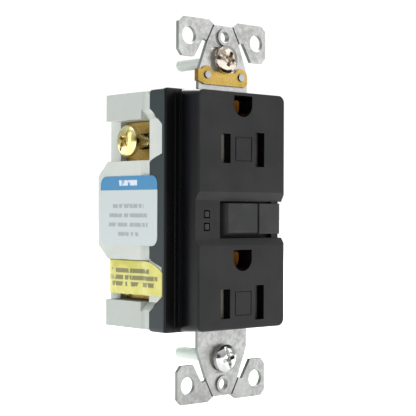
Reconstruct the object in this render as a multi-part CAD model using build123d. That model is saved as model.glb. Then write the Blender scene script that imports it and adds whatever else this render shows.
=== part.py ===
from build123d import *
import os

os.makedirs("parts", exist_ok=True)

# Duplex ground-fault outlet on a metal strap. Millimetres: X runs right, Y into the wall
# box, Z up. The origin is on the strap's back plane, midway between the cover-plate holes.

# Strap
strap_thick = 1.1
strap_half_length = 52.95
neck_half_width = 9.1
waist_half_width = 6.5
bridge_half_width = 3.0
ear_half_width = 16.25
ear_hole = (12.6, 47.9, 2.45)
cover_hole_z = 48.42
cover_hole_r = 1.6
mount_z = (42.16, -41.16)
upper_slot = (9.2, 6.6)
lower_slot = (9.0, 6.4)
clip_rivet = (6.3, 37.56)
clip_lobe_r = 2.45
clip_bottom = 34.9
clip_top = 38.7
clip_thick = 0.5

# Body
body_half_width = 21.5
body_half_height = 33.1
wall = 1.6
shoulder_y = -1.6
cover_rear_y = 4.8
flange_rear_y = 7.2
housing_rear_y = 28.6
core_half_width = 17.5
core_rear_y = 27.5
block_half_width = 21.4
flange_half_width = 20.9
flange_half_height = 32.85
block_top = 32.5
block_rear_y = 25.3

# Face
face_front_y = -9.4
face_back_y = -6.8
face_front_size = (32.1, 64.9)
face_base_size = (33.1, 66.0)
cavity_half = (14.6, 30.9)
band_y = -8.1
band_bottom = -7.6
band_top = 2.55

# Outlets, each a pair of blade slots with the ground hole above
outlet_z = (16.9, -25.4)
blade_x = 6.35
slot_width = 3.4
hot_slot_height = 8.0
neutral_slot_height = 9.5
ground_pin_rise = 11.87
ground_hole_rise = 12.2
ground_hole_r = 3.4
ground_hole_flat = 2.45

# Buttons
pit_left = -7.3
pit_floor_y = -3.6
button_back_y = -5.6
button_bottom = -6.5
button_top = 2.05
button_z = (button_bottom + button_top) / 2
reset_x = -0.6
reset_side = (-4.9, 6.2)
test_x = 10.9
test_side = (6.9, 15.0)
button_front_y = -8.9

# Indicator windows and the light pipe behind them
window_x = -12.0
window_z = (-1.0, -4.4)
window_half = 1.1
lamp_x = -13.2

# Wiring terminals
terminal_z = 19.4
terminal_y = 16.2
pocket_half_height = 5.7
pocket_front_y = 5.0
window_rear_y = 22.9
terminal_plate_x = 14.5
terminal_plate_thick = 0.8
screw_pitch = 0.794
screw_r = 2.0
screw_head_r = 4.35
clamp_x = 10.8
clamp_thick = 1.2

# Mounting screws
mount_screw_r = 1.75
mount_neck_r = 1.45
mount_neck_end_y = 1.4
mount_head_r = 3.85
mount_head_thick = 2.0
mount_head_y = -1.75
mount_screw_end_y = 17.9

# Switching mechanism
contact_x = 10.4
line_contact_z = 5.0
load_contact_z = -7.0
strip_y = 6.0
strip_thick = 0.8
carriage_front_y = 8.9
carriage_rear_y = 11.7
latch_y = (12.0, 12.8)
plunger_y = 15.2
toroid_z = 17.0
board_y = (20.2, 21.4)
chamber_wall_x = 8.6
assembly_screw_at = (16.8, 29.0)


def block(x0, x1, y0, y1, z0, z1):
    """Box between two corners."""
    centre = Pos((x0 + x1) / 2, (y0 + y1) / 2, (z0 + z1) / 2)
    return centre * Box(x1 - x0, y1 - y0, z1 - z0)


def prism(sketch, y0, y1):
    """Sketch drawn in X and Z, as a solid from y0 to y1."""
    return Pos(0, y1, 0) * extrude(Plane.XZ * sketch, amount=y1 - y0)


def outline(*points):
    return make_face(Polyline(*points, close=True))


def side_prism(points, x0, x1):
    """Outline of (y, z) points, as a solid from x0 to x1."""
    return Pos(x0, 0, 0) * extrude(Plane.YZ * outline(*points), amount=x1 - x0)


def rod_y(x, z, radius, y0, y1):
    return Pos(x, (y0 + y1) / 2, z) * Rot(90, 0, 0) * Cylinder(radius, y1 - y0)


def rod_x(y, z, radius, x0, x1):
    return Pos((x0 + x1) / 2, y, z) * Rot(0, 90, 0) * Cylinder(radius, x1 - x0)


def rod_z(x, y, radius, z0, z1):
    return Pos(x, y, (z0 + z1) / 2) * Cylinder(radius, z1 - z0)


def both_sides(shape):
    return shape + mirror(shape, about=Plane.YZ)


def both_ends(shape):
    return shape + mirror(shape, about=Plane.XY)


def corners(shape):
    return both_ends(both_sides(shape))


def group(*shapes):
    """Separate solids kept in one node."""
    return Compound(children=[solid for shape in shapes for solid in shape.solids()])


def coil(radius, wire, length, turns):
    """Round-wire spring standing on the origin along +Z."""
    path = Helix(pitch=(length - 2 * wire) / turns, height=length - 2 * wire, radius=radius)
    section = Plane(origin=path @ 0, z_dir=path % 0) * Circle(wire)
    return Pos(0, 0, wire) * sweep(section, path=path, is_frenet=True)


def thread(radius, length, depth=0.32):
    """Grooved screw shank along +Z from the origin, with flat crests."""
    points = [(0, 0), (radius, 0)]
    count = int(length / screw_pitch) - 1
    for turn in range(count):
        start = 0.5 + turn * screw_pitch
        points += [(radius, start), (radius - depth, start + 0.26), (radius - depth, start + 0.34),
                   (radius, start + 0.6)]
    points += [(radius, length - 0.8), (radius - 0.7, length), (0, length)]
    return revolve(Plane.XZ * outline(*points), axis=Axis.Z)


def screw_recess(depth, turn):
    """Slot and cross cut into a head whose face is at z = 0, open downwards."""
    cuts = Box(6.6, 0.95, depth * 1.1)
    cuts += Box(1.15, 4.3, depth * 2)
    cuts += Box(4.3, 1.15, depth * 2)
    cuts += Rot(0, 0, 45) * Box(1.9, 1.9, depth * 2.6)
    return Rot(0, 0, turn) * cuts


def pan_head(radius, height, recess, turn):
    """Domed head from z = 0, its flat outer face, up to z = height."""
    rim = height * 0.45
    dome = Polyline((0, height), (radius, height), (radius, rim))
    crown = ThreePointArc((radius, rim), (radius * 0.78, rim * 0.22), (0, 0))
    head = revolve(Plane.XZ * make_face(dome + crown + Line((0, 0), (0, height))), axis=Axis.Z)
    return head - screw_recess(recess, turn)


# Metal strap and its trim

def strap_outline():
    upper = [(waist_half_width, 9.5), (bridge_half_width, 11.2), (bridge_half_width, 22.6),
             (neck_half_width, 24.2)]
    lower = [(neck_half_width, -32.6), (bridge_half_width, -31.0), (bridge_half_width, -19.6),
             (waist_half_width, -18.0)]
    ear = [(neck_half_width, 38.5), (5.8, 47.0), (7.55, 47.5), (10.7, 42.3), (14.9, 42.3),
           (ear_half_width, 43.9), (ear_half_width, 51.5), (14.7, strap_half_length),
           (5.3, strap_half_length), (3.3, 51.6)]
    right = [(x, -z) for x, z in reversed(ear)] + lower + upper + ear
    left = [(-x, z) for x, z in reversed(right)]
    return outline(*right, *left)


def strap():
    plate = prism(strap_outline(), -strap_thick, 0)
    plate += block(neck_half_width - strap_thick, neck_half_width, -0.5, 9.0, -41.0, -34.2)
    plate += both_ends(rod_y(0, cover_hole_z, 2.35, -strap_thick - 0.6, -strap_thick / 2))
    plate -= both_ends(rod_y(0, cover_hole_z, cover_hole_r, -3, 1))
    ear_x, ear_z, ear_r = ear_hole
    plate -= corners(rod_y(ear_x, ear_z, ear_r, -3, 1))
    plate -= prism(Pos(0, mount_z[0]) * RectangleRounded(*upper_slot, 1.2), -3, 1)
    plate -= prism(Pos(0, mount_z[1]) * SlotOverall(*lower_slot), -3, 1)
    score = outline((5.9, 46.9), (6.3, 47.1), (3.8, 51.7), (3.4, 51.5))
    plate -= corners(prism(score, -3, -strap_thick + 0.35))
    coined = Pos(0, -45.0) * Rectangle(5.0, 0.35)
    plate -= prism(coined, -3, -strap_thick + 0.15)
    for z in outlet_z:
        plate -= rod_y(0, z + ground_pin_rise, 3.9, -3, 1)
        for side in (-1, 1):
            plate -= rod_y(side * 4.3, z + ground_pin_rise - 3.2 - 0.9, 0.85, -3, 1)
    for side in (-1, 1):
        plate -= rod_y(side * clip_rivet[0], clip_rivet[1], 0.75, -3, 1)
    plate -= rod_y(reset_x, button_z, 2.4, -3, 1)
    plate -= rod_x(5.0, -37.6, 1.98, 5, 12)
    return plate


def ground_clip():
    """Brass spring clip riveted over the upper neck, folded back over its left edge."""
    rivet_x, rivet_z = clip_rivet
    reach = rivet_x + clip_lobe_r
    fold = neck_half_width + clip_thick
    plate = outline((-fold, 35.7), (-7.2, clip_bottom), (7.7, clip_bottom), (reach, 35.9),
                    (reach, rivet_z), (rivet_x, clip_top), (-rivet_x, clip_top), (-7.5, 39.05),
                    (-fold, 39.05))
    for side in (-1, 1):
        plate += Pos(side * rivet_x, rivet_z) * Circle(clip_lobe_r)
    clip = prism(plate, -strap_thick - clip_thick, -strap_thick)
    clip += block(-fold, -neck_half_width, -strap_thick - 0.1, 0.0, 35.7, 39.05)
    for side in (-1, 1):
        clip -= rod_y(side * rivet_x, rivet_z, 0.75, -4, 4)
    return clip


def rivet(x, z, shank, head, y0, y1, head_thick=0.4):
    body = rod_y(x, z, shank, y0, y1)
    body += rod_y(x, z, head, y0 - head_thick, y0)
    return body + rod_y(x, z, head, y1, y1 + head_thick)


def strap_rivets():
    rivet_x, rivet_z = clip_rivet
    rivets = []
    for side in (-1, 1):
        rivets.append(rivet(side * rivet_x, rivet_z, 0.7, 1.05, -strap_thick - clip_thick, 0.0))
    for z in outlet_z:
        for x in (-4.3, 4.3):
            rivets.append(rivet(x, z + ground_pin_rise - 4.1, 0.8, 1.2, -strap_thick, 0.8))
    return group(*rivets)


def ground_contact(z):
    """Flared brass collar behind each ground hole, open at the top, on a riveted foot."""
    wall_points = [(3.25, -3.9), (3.65, -3.9), (3.05, 0.2), (3.05, 9.5), (2.5, 9.5), (2.5, 0.3)]
    collar = revolve(outline(*wall_points), axis=Axis.Y)
    collar += block(-5.7, 5.7, 0.02, 0.8, -5.6, 1.9) - rod_y(0, 0, 2.9, -1, 2)
    collar -= block(-5, 5, -5, 10, 2.0, 5)
    collar -= block(-0.3, 0.3, 1.5, 10, -4, 0)
    for x in (-4.3, 4.3):
        collar -= rod_y(x, -4.1, 0.8, -1, 2)
    return Pos(0, 0, z + ground_pin_rise) * collar


# Casing

def ground_hole(rise, grow=0.0):
    arc_r = ground_hole_r + grow
    hole = Circle(arc_r) + Pos(0, arc_r / 2) * Rectangle(2 * arc_r, arc_r)
    hole &= Pos(0, -arc_r / 2 + ground_hole_flat / 2) * Rectangle(2 * arc_r, arc_r + ground_hole_flat)
    return Pos(0, rise) * hole


def front_cover():
    half_w, half_h = cavity_half
    base = prism(RectangleRounded(2 * body_half_width, 2 * body_half_height, 1.3), shoulder_y,
                 cover_rear_y)
    base = fillet(base.faces().sort_by(Axis.Y)[0].edges(), 0.7)
    base += both_sides(block(16.0, 17.9, shoulder_y - 0.25, 0, -32.0, 32.0))
    front = Pos(0, face_front_y, 0) * (Plane.XZ * RectangleRounded(*face_front_size, 2.0))
    back = Pos(0, shoulder_y + 0.6, 0) * (Plane.XZ * RectangleRounded(*face_base_size, 2.0))
    face = loft([front, back])
    face = fillet(face.faces().sort_by(Axis.Y)[0].edges(), 0.55)
    cover = base + face
    cover -= block(-half_w, half_w, face_back_y, 0.1, -half_h, half_h)
    cover -= block(-body_half_width + wall, body_half_width - wall, 0, 5, -31.3, 31.3)
    band = [(-9.6, 5.4), (band_y, 2.8), (band_y, band_bottom - 0.15), (-9.6, band_bottom - 2.2)]
    cover -= side_prism(band, -18, 18)
    cover += block(-8.5, 15.8, face_back_y - 0.1, -2.4, band_bottom - 1.2, band_top + 1.2)
    sleeves = [rod_y(0, z + ground_hole_rise, ground_hole_r + 0.9, face_back_y - 0.1, -4.1)
               for z in outlet_z]
    for sleeve in sleeves:
        cover += sleeve & block(-half_w, half_w, -7, -4.1, -half_h - 0.2, half_h + 0.2)
    screw_x, screw_z = assembly_screw_at
    cover += corners(block(14.0, 20.2, -0.2, cover_rear_y - 0.05, 26.6, 31.6))
    cover -= corners(rod_y(screw_x, screw_z, 1.35, -0.5, 6))
    cover -= both_ends(block(-9.25, 9.25, -1.15, 6, 30.0, 34))
    tab_hole = [(6, 28.6), (-0.5, 23.6), (-0.5, 15.1), (6, 12.7)]
    cover -= corners(side_prism(tab_hole, 19.5, 22))
    cover -= block(pit_left, 18, -12, -5.0, band_bottom, band_top)
    cover -= block(pit_left, 15.1, -12, pit_floor_y, band_bottom, band_top)
    cover -= rod_y(reset_x, button_z, 1.56, -5, 0)
    cover -= rod_y(test_x, button_z, 1.26, -5, 0)
    for z in outlet_z:
        cover -= prism(ground_hole(z + ground_hole_rise), -12, -2)
        hot = Pos(-blade_x, z) * Rectangle(slot_width, hot_slot_height)
        neutral = Pos(blade_x, z) * Rectangle(slot_width, neutral_slot_height)
        cover -= prism(hot + neutral, -12, face_back_y + 1)
        panel = Pos(0.2, z) * (Rectangle(6.2, 6.7) - Rectangle(5.6, 6.1))
        cover -= prism(panel, -12, face_front_y + 0.25)
    for z in window_z:
        cover -= prism(Pos(window_x, z) * RectangleRounded(2 * window_half, 2 * window_half, 0.3), -12,
                       -6)
    return cover


def middle_frame():
    """Insulating tray between the strap and the live parts."""
    tray = block(-19.6, 19.6, 0.3, 2.1, -31.0, 31.0)
    tray -= corners(block(13.7, 20, 0, 3, 26.3, 32))
    for z in outlet_z:
        blades = Rectangle(slot_width + 0.4, 10.2)
        tray -= prism(Pos(-blade_x, z) * blades + Pos(blade_x, z) * blades, 0, 3)
        low = z + ground_pin_rise
        tray -= block(-6.4, 6.4, 0, 3, low - 6.3, low + 4.6)
    tray -= rod_y(reset_x, button_z, 1.56, 0, 3)
    tray -= rod_y(test_x, button_z, 1.26, 0, 3)
    low, high = min(window_z), max(window_z)
    tray -= block(lamp_x - 1.3, window_x + 1.3, 0, 3, low - 1.3, high + 1.3)
    tray += both_sides(block(6.0, 6.8, 1.9, 8.2, -8.0, 4.0))
    return tray


def rear_housing():
    """Pale rear shell with four side pockets for the wiring screws."""
    edge = body_half_width
    flange = RectangleRounded(2 * flange_half_width, 2 * flange_half_height, 1.2)
    shell = prism(flange, cover_rear_y, flange_rear_y)
    shell += block(-core_half_width, core_half_width, 7, core_rear_y, -26.0, 26.0)
    bulge = [(7, 13.7), (23.6, 13.7), (housing_rear_y, 9.3), (housing_rear_y, -9.3), (23.6, -13.7),
             (7, -13.7)]
    centre = side_prism(bulge, -edge, edge)
    shell += fillet(centre.edges().filter_by(Axis.Z).sort_by(Axis.Y)[-2:], 0.8)
    low = terminal_z + pocket_half_height
    end_block = block(-block_half_width, block_half_width, 6, block_rear_y, low, block_top)
    end_block = fillet(end_block.faces().sort_by(Axis.Y)[-1].edges(), 1.1)
    shell += both_ends(end_block)
    step = [(flange_half_width, 5), (23, 5), (23, 8.6), (edge, 8.6), (flange_half_width, flange_rear_y)]
    shell -= both_sides(Pos(0, 0, -34) * extrude(Plane.XY * outline(*step), amount=68))
    tab = [(cover_rear_y + 0.4, 27.9), (-0.35, 23.2), (-0.35, 15.4), (cover_rear_y + 0.4, 13.4)]
    shell += corners(side_prism(tab, 19.95, edge - 0.15))
    shell += both_sides(block(18.2, 19.6, 2.3, 5, -24.8, 24.8))
    shell += corners(block(18.2, 20.5, 2.4, 5, 14.0, 25.0))
    shell += both_ends(block(-13.4, 13.4, 2.3, 5, 29.6, 31.0))
    shell += both_ends(block(-9.1, 9.1, 0.1, 5, 31.0, flange_half_height))
    # Inside
    shell -= block(-edge + 1.5, edge - 1.5, 4.5, 23.0, -12.3, 12.3)
    shell -= block(-edge + 1.5, edge - 1.5, 4.5, 26.3, -8.6, 8.6)
    shell -= block(-18.2, 18.2, 2, 23.0, -12.3, 12.3)
    shell -= block(-chamber_wall_x, chamber_wall_x, 2, 25.3, -24.0, 24.0)
    shell -= block(-chamber_wall_x, chamber_wall_x, 2, 23.0, -29.6, 29.6)
    shell -= block(-6.0, 6.0, 2, 10.5, 25.0, 31.2)
    # Wiring pockets, their windows and the chambers behind them
    top, bottom = terminal_z + pocket_half_height, terminal_z - pocket_half_height
    shell -= corners(block(core_half_width, 23, pocket_front_y, 30, bottom, top))
    shell -= corners(block(chamber_wall_x + 1.0, core_half_width + 0.1, 2, window_rear_y, bottom, top))
    flare = Plane.XZ * outline((22, 28.4), (22, 24.9), (18.8, 24.9))
    shell -= corners(Pos(0, 8.6, 0) * extrude(flare, amount=10))
    shell -= corners(block(14.2, 15.6, 2, 9.2, 12, 14))
    shell -= both_sides(block(8, 10, window_rear_y - 1.2, window_rear_y + 0.01, 15.9, 18.1))
    for rise in (-2.9, 2.9):
        shell -= corners(rod_y(13.25, terminal_z + rise, 1.25, 20, 30))
    screw_x, screw_z = assembly_screw_at
    shell -= corners(rod_y(screw_x, screw_z, 1.6, 3, 30))
    shell -= corners(rod_y(screw_x, screw_z, 2.9, 22.6, 30))
    return shell


def assembly_screw():
    screw_x, screw_z = assembly_screw_at
    head = Pos(screw_x, 24.3, screw_z) * Rot(90, 0, 0) * pan_head(2.6, 1.6, 0.7, 20)
    return head + rod_y(screw_x, screw_z, 1.3, -0.3, 22.9)


# Live parts

def blade_clip(side, z):
    """Two brass leaves and a base that grip one plug blade."""
    x = side * blade_x
    clip = block(x - 1.45, x - 0.85, 2.4, 10.1, z - 3.5, z + 3.5)
    clip += block(x + 0.85, x + 1.45, 2.4, 10.1, z - 3.5, z + 3.5)
    return clip + block(x - 1.45, x + 1.45, 9.5, 10.1, z - 3.5, z + 3.5)


def terminal_plate(z):
    """Left-hand plate with a notch, open to the front, round the wiring screw."""
    x0 = -terminal_plate_x - terminal_plate_thick
    plate = block(x0, -terminal_plate_x, 5.2, 22.7, z - 5.5, z + 5.5)
    plate -= block(-20, -10, 5, terminal_y, z - 2.25, z + 2.25)
    return plate - rod_x(terminal_y, z, 2.25, -20, -10)


def load_bus():
    """Left-hand stamping from the lower wiring plate to both outlets' clips."""
    bus = terminal_plate(-terminal_z)
    x0 = -terminal_plate_x - terminal_plate_thick
    low, high = load_contact_z - 1.2, load_contact_z + 1.2
    bus += block(x0, -terminal_plate_x, strip_y, strip_y + 3, -15.0, high)
    bus += block(x0, -7.2, strip_y, strip_y + strip_thick, low, high)
    bus += block(-7.8, -7.2, 3.0, 6.5, outlet_z[1], outlet_z[0])
    for z in outlet_z:
        bus += blade_clip(-1, z)
    return bus


def line_conductor():
    """Left-hand stamping from the upper wiring plate, through the toroids, to its contact."""
    bar = terminal_plate(terminal_z)
    back = 21.9
    bar += block(-14.6, -0.9, back, back + 0.8, toroid_z - 0.8, toroid_z + 0.8)
    bar += block(-1.9, -0.9, 11.0, back + 0.8, toroid_z - 0.8, toroid_z + 0.8)
    bar += block(-1.9, -0.9, 11.0, 11.8, 9.6, toroid_z + 0.8)
    bar += block(-11.6, -0.9, 11.0, 11.8, 9.6, 11.2)
    bar += block(-11.6, -10.0, strip_y, 11.8, 9.6, 11.2)
    return bar + block(-11.6, -9.2, strip_y, strip_y + strip_thick, line_contact_z - 1.2, 11.2)


def fixed_contacts():
    top = strip_y + strip_thick
    buttons = [rod_y(side * contact_x, z, 1.0, top, top + 0.65)
               for side in (-1, 1) for z in (line_contact_z, load_contact_z)]
    return group(*buttons)


def contact_bridges():
    """Two moving copper bars, each with a silver tip over the line and load contacts."""
    low, high = load_contact_z - 1.2, line_contact_z + 1.2
    bars = []
    for side in (-1, 1):
        x = side * contact_x
        bar = block(x - 1.1, x + 1.1, 8.3, 8.85, low, high)
        for z in (line_contact_z, load_contact_z):
            bar += rod_y(x, z, 1.0, 7.55, 8.3)
        bars.append(bar)
    return group(*bars)


def contact_carriage():
    """Moulding that carries the bridges and guides the latch plate on its rear."""
    body = block(-5.6, 4.4, carriage_front_y, carriage_rear_y, -9.0, 8.4)
    wings = block(-11.7, 11.7, carriage_front_y, carriage_front_y + 1.8, -2.4, 1.2)
    wings += both_sides(block(9.3, 11.5, carriage_front_y, carriage_front_y + 1.2, -7.4, 5.4))
    body += wings
    for x0, x1, lip in ((-5.6, -4.75, -4.3), (3.55, 4.4, 3.1)):
        body += block(x0, x1, carriage_rear_y, 13.6, -7.0, 1.4)
        body += block(min(x0, lip), max(x1, lip), 13.0, 13.6, -7.0, 1.4)
    body += block(-3.0, 1.8, carriage_rear_y, 13.9, 7.4, 8.4)
    body -= rod_y(reset_x, button_z, 1.7, 5, 13)
    return body


def latch_plate():
    """Steel plate with a keyhole; its leg faces the solenoid plunger."""
    y0, y1 = latch_y
    plate = block(reset_x - 4.0, reset_x + 4.0, y0, y1, -8.5, 1.4)
    plate += block(reset_x - 2.4, reset_x + 2.4, y0, 17.6, -8.5, -7.7)
    plate -= block(reset_x - 1.1, reset_x + 1.1, 11, 13, button_z - 1.8, button_z + 1.15)
    return plate - rod_y(reset_x, button_z - 2.3, 1.65, 11, 13)


def reset_button():
    """Cup-shaped cap whose left side is beveled."""
    left, right = reset_side
    cap = block(left, right, button_front_y, button_back_y, button_bottom, button_top)
    cap += side_slope()
    bevel = [(button_front_y - 0.1, button_bottom + 0.6), (button_front_y - 0.1, button_bottom - 0.1),
             (button_front_y + 0.9, button_bottom - 0.1)]
    cap -= side_prism(bevel, -8, 8)
    cap = fillet(cap.faces().sort_by(Axis.Y)[0].edges(), 0.35)
    cap -= block(left + 0.9, right - 0.9, button_front_y + 1.1, button_back_y + 1,
                 button_bottom + 0.9, button_top - 0.9)
    return cap - rod_y(reset_x, button_z, 1.35, button_front_y + 0.45, 0)


def side_slope():
    left = reset_side[0]
    points = [(left, button_front_y), (left - 1.5, button_back_y), (left + 0.1, button_back_y)]
    wedge = extrude(Plane.XY * outline(*points), amount=button_top - button_bottom)
    return Pos(0, 0, button_bottom) * wedge


def reset_stem():
    """Steel pin from the cap to the latch, with a neck behind its head."""
    shoulder = 10.3
    stem = rod_y(reset_x, button_z, 1.34, button_front_y + 0.5, button_front_y + 1.2)
    stem += rod_y(reset_x, button_z, 1.5, button_front_y + 1.1, shoulder)
    stem += rod_y(reset_x, button_z, 1.0, shoulder, 13.0)
    nose = [(0, 12.9), (1.5, 12.9), (1.5, 13.5), (0.5, 14.8), (0, 14.8)]
    return stem + Pos(reset_x, 0, button_z) * revolve(outline(*nose), axis=Axis.Y)


def test_button():
    left, right = test_side
    cap = block(left, right, button_front_y + 0.3, button_back_y, button_bottom, button_top)
    cap = fillet(cap.faces().sort_by(Axis.Y)[0].edges(), 0.35)
    cap -= block(left + 0.9, right - 0.9, button_front_y + 1.4, button_back_y + 1,
                 button_bottom + 0.9, button_top - 0.9)
    return cap + rod_y(test_x, button_z, 1.2, button_front_y + 1, 2.2)


def button_spring(x):
    length = pit_floor_y - (button_front_y + 1.4)
    return Pos(x, pit_floor_y, button_z) * Rot(90, 0, 0) * coil(2.4, 0.2, length, 4)


def test_blade():
    """Leaf spring behind the test button, on a foot against the middle frame."""
    blade = block(8.6, 15.2, 2.45, 2.75, button_z - 1.2, button_z + 1.2)
    return blade + block(13.0, 15.2, 2.1, 2.5, button_z - 1.2, button_z + 1.2)


# Shutters

def shutter(z):
    """Slider that closes both blade slots until two blades push its ramps."""
    slider = block(-13.4, 9.6, -6.5, -4.1, z - 5.2, z + 7.0)
    slider -= block(-12.3, -8.6, -7, -4, z - 4.9, z + 4.9)
    slider -= block(0.4, 4.15, -7, -4, z - 4.9, z + 4.9)
    slider -= block(-6.0, 4.2, -7, -4, z + 5.3, z + 6.8)
    for x in (-8.7, 4.05):
        ramp = outline((x, -7.0), (x + 4.2, -7.0), (x + 4.2, -6.5), (x, -5.0))
        slider -= Pos(0, 0, z - 4.9) * extrude(Plane.XY * ramp, amount=9.8)
    return slider


def shutter_tray(z):
    tray = block(-14.3, 14.3, -3.9, -2.9, z - 5.4, z + 7.0)
    blades = Rectangle(4.4, 10.0)
    tray -= prism(Pos(-blade_x, z) * blades + Pos(blade_x, z) * blades, -5, -2)
    return tray + block(3.0, 4.0, -6.4, -3.8, z + 5.6, z + 6.6)


def shutter_spring(z):
    return Pos(-5.95, -5.3, z + 6.05) * Rot(0, 90, 0) * coil(0.5, 0.12, 8.85, 9)


# Electronics

def circuit_board():
    board = block(-19.4, 19.4, *board_y, -11.8, 8.6)
    return board + block(-8.0, 8.0, *board_y, -29.2, -11.7)


def ring(outer, inner, y0, y1):
    solid = rod_y(0, toroid_z, outer, y0, y1) - rod_y(0, toroid_z, inner, y0 - 1, y1 + 1)
    return fillet(solid.edges(), 0.6)


def toroid_boot():
    boot = rod_y(0, toroid_z, 8.2, 12.3, 21.0) - rod_y(0, toroid_z, 7.7, 12, 20.5)
    boot += rod_y(0, toroid_z, 3.4, 12.3, 21.0)
    return boot - rod_y(0, toroid_z, 2.9, 12, 22)


def varistor():
    disc = fillet(rod_z(-14.5, 15.5, 4.4, 4.4, 7.8).edges(), 1.0)
    legs = [rod_y(-14.5 + dx, 6.1, 0.35, 18.5, board_y[0]) for dx in (-2.5, 2.5)]
    return disc + legs[0] + legs[1]


def capacitor():
    return fillet(block(12.6, 19.0, 13.0, board_y[0], 2.6, 8.2).edges(), 0.6)


def scr():
    can = rod_y(15.5, -6.0, 2.3, 15.4, board_y[0] - 0.6) - block(17, 19, 15, 20, -9, -3)
    for dz in (-1.27, 0, 1.27):
        can += rod_y(15.4, -6.0 + dz, 0.25, 19, board_y[0])
    return can


def control_chip():
    y = board_y[1]
    chip = block(-4.0, 4.0, y + 0.25, y + 1.9, -1.5, 3.5)
    for x in (-3.0, -1.0, 1.0, 3.0):
        chip += block(x - 0.2, x + 0.2, y, y + 0.9, -2.6, 4.6)
    return chip


def axial_part(x, z, radius, length):
    y = board_y[1]
    part = rod_z(x, y + radius + 0.1, radius, z - length / 2, z + length / 2)
    part += rod_z(x, y + radius + 0.1, 0.3, z - length / 2 - 1, z + length / 2 + 1)
    for end in (-1, 1):
        part += rod_y(x, z + end * (length / 2 + 0.8), 0.3, y, y + radius + 0.1)
    return part


def resistors():
    return group(*[axial_part(x, -4.0, 1.0, 6.0) for x in (-15.0, -11.0, 10.0, 13.0)])


def diodes():
    return group(*[axial_part(x, -16.0, 0.9, 4.0) for x in (-4.5, 0.0, 4.5)])


def indicator_leds():
    y = board_y[0]
    return group(*[block(lamp_x - 0.8, lamp_x + 0.8, y - 0.9, y, z - 0.6, z + 0.6)
                   for z in window_z])


def light_pipe():
    """Two clear rods from the lamps to the face, each with a jog, joined by a web."""
    front_x = window_x + 0.15
    pipe = block(lamp_x - 0.5, lamp_x + 0.5, 3.0, 4.6, min(window_z), max(window_z))
    for z in window_z:
        pipe += block(front_x - 0.7, front_x + 0.7, -8.0, 4.4, z - 0.75, z + 0.75)
        pipe += block(lamp_x - 0.9, front_x, 2.6, 4.4, z - 0.75, z + 0.75)
        pipe += block(lamp_x - 0.9, lamp_x + 0.9, 2.6, board_y[0] - 1.1, z - 0.75, z + 0.75)
    return pipe


# Solenoid

def solenoid_frame():
    x0, x1 = reset_x - 4.9, reset_x + 4.9
    frame = block(x0, x1, 19.6, board_y[0], -28.6, -11.3)
    frame += block(x0, x1, 10.5, board_y[0], -12.1, -11.3)
    frame += block(x0, x1, 10.5, board_y[0], -28.6, -27.8)
    return frame - rod_z(reset_x, plunger_y, 1.9, -30, -10)


def solenoid_bobbin():
    spool = rod_z(reset_x, plunger_y, 2.3, -27.75, -12.15)
    spool += rod_z(reset_x, plunger_y, 4.3, -27.75, -27.0)
    spool += rod_z(reset_x, plunger_y, 4.3, -12.9, -12.15)
    return spool - rod_z(reset_x, plunger_y, 1.72, -28, -12)


def solenoid_coil():
    winding = rod_z(reset_x, plunger_y, 4.1, -26.95, -12.95)
    return winding - rod_z(reset_x, plunger_y, 2.35, -28, -12)


def plunger():
    rod = rod_z(reset_x, plunger_y, 1.65, -25.0, -10.4)
    return rod + rod_z(reset_x, plunger_y, 0.9, -10.5, -8.9)


def latch_spring():
    return Pos(reset_x, 12.75, 1.45) * coil(0.6, 0.15, 5.9, 6)


def break_springs():
    springs = [Pos(x, 2.15, z) * Rot(-90, 0, 0) * coil(1.1, 0.2, 6.7, 5)
               for x, z in ((-3.8, 3.6), (2.6, 3.6))]
    return group(*springs)


# Wiring screws and clamps, made on the left and mirrored

def wiring_screw(z, turn):
    head = pan_head(screw_head_r, 2.1, 0.8, turn)
    body = head + Pos(0, 0, 2.0) * thread(screw_r, 9.3)
    return Pos(-body_half_width, terminal_y, z) * Rot(0, 90, 0) * body


def wiring_clamp(z):
    plate = block(-clamp_x - clamp_thick, -clamp_x, 9.0, 21.4, z - 5.1, z + 5.1)
    plate = fillet(plate.edges().filter_by(Axis.X), 1.0)
    for rise in (-2.9, 2.9):
        plate -= rod_y(-clamp_x - clamp_thick, z + rise, 0.5, 19.0, 23)
    return plate - rod_x(terminal_y, z, screw_r + 0.06, -20, -5)


def ground_screw():
    x = neck_half_width
    hexagon = extrude(Plane.YZ * RegularPolygon(3.0, 6), amount=1.6)
    head = Pos(x + 0.9, 5.0, -37.6) * hexagon
    head += rod_x(5.0, -37.6, 3.3, x + 0.3, x + 1.0)
    head += rod_x(5.0, -37.6, 1.9, 3.6, x + 0.4)
    return head - block(x + 1.7, x + 4, 4.5, 5.5, -42, -33)


def mounting_screw(z, turn):
    """Pan-head screw, necked where the retaining washer sits."""
    head = pan_head(mount_head_r, mount_head_thick, 0.9, turn)
    head = Pos(0, mount_head_y - mount_head_thick, z) * Rot(-90, 0, 0) * head
    neck = rod_y(0, z, mount_neck_r, mount_head_y - 0.2, mount_neck_end_y + 0.1)
    shank = rod_y(0, z, mount_screw_r, mount_neck_end_y, mount_screw_end_y)
    shank = fillet(shank.faces().sort_by(Axis.Y)[-1].edges(), 0.9)
    return head + neck + shank


def screw_washer(z):
    washer = rod_y(0, z, 3.9, 0.15, 0.95)
    return washer - rod_y(0, z, mount_neck_r + 0.07, 0, 2)


# Stickers

def side_label():
    """Blank notice label on the left side of the body."""
    shape = Pos(14.1, -0.1) * RectangleRounded(25.6, 19.2, 2.5)
    return Pos(-body_half_width - 0.15, 0, 0) * extrude(Plane.YZ * shape, amount=0.15)


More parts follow.
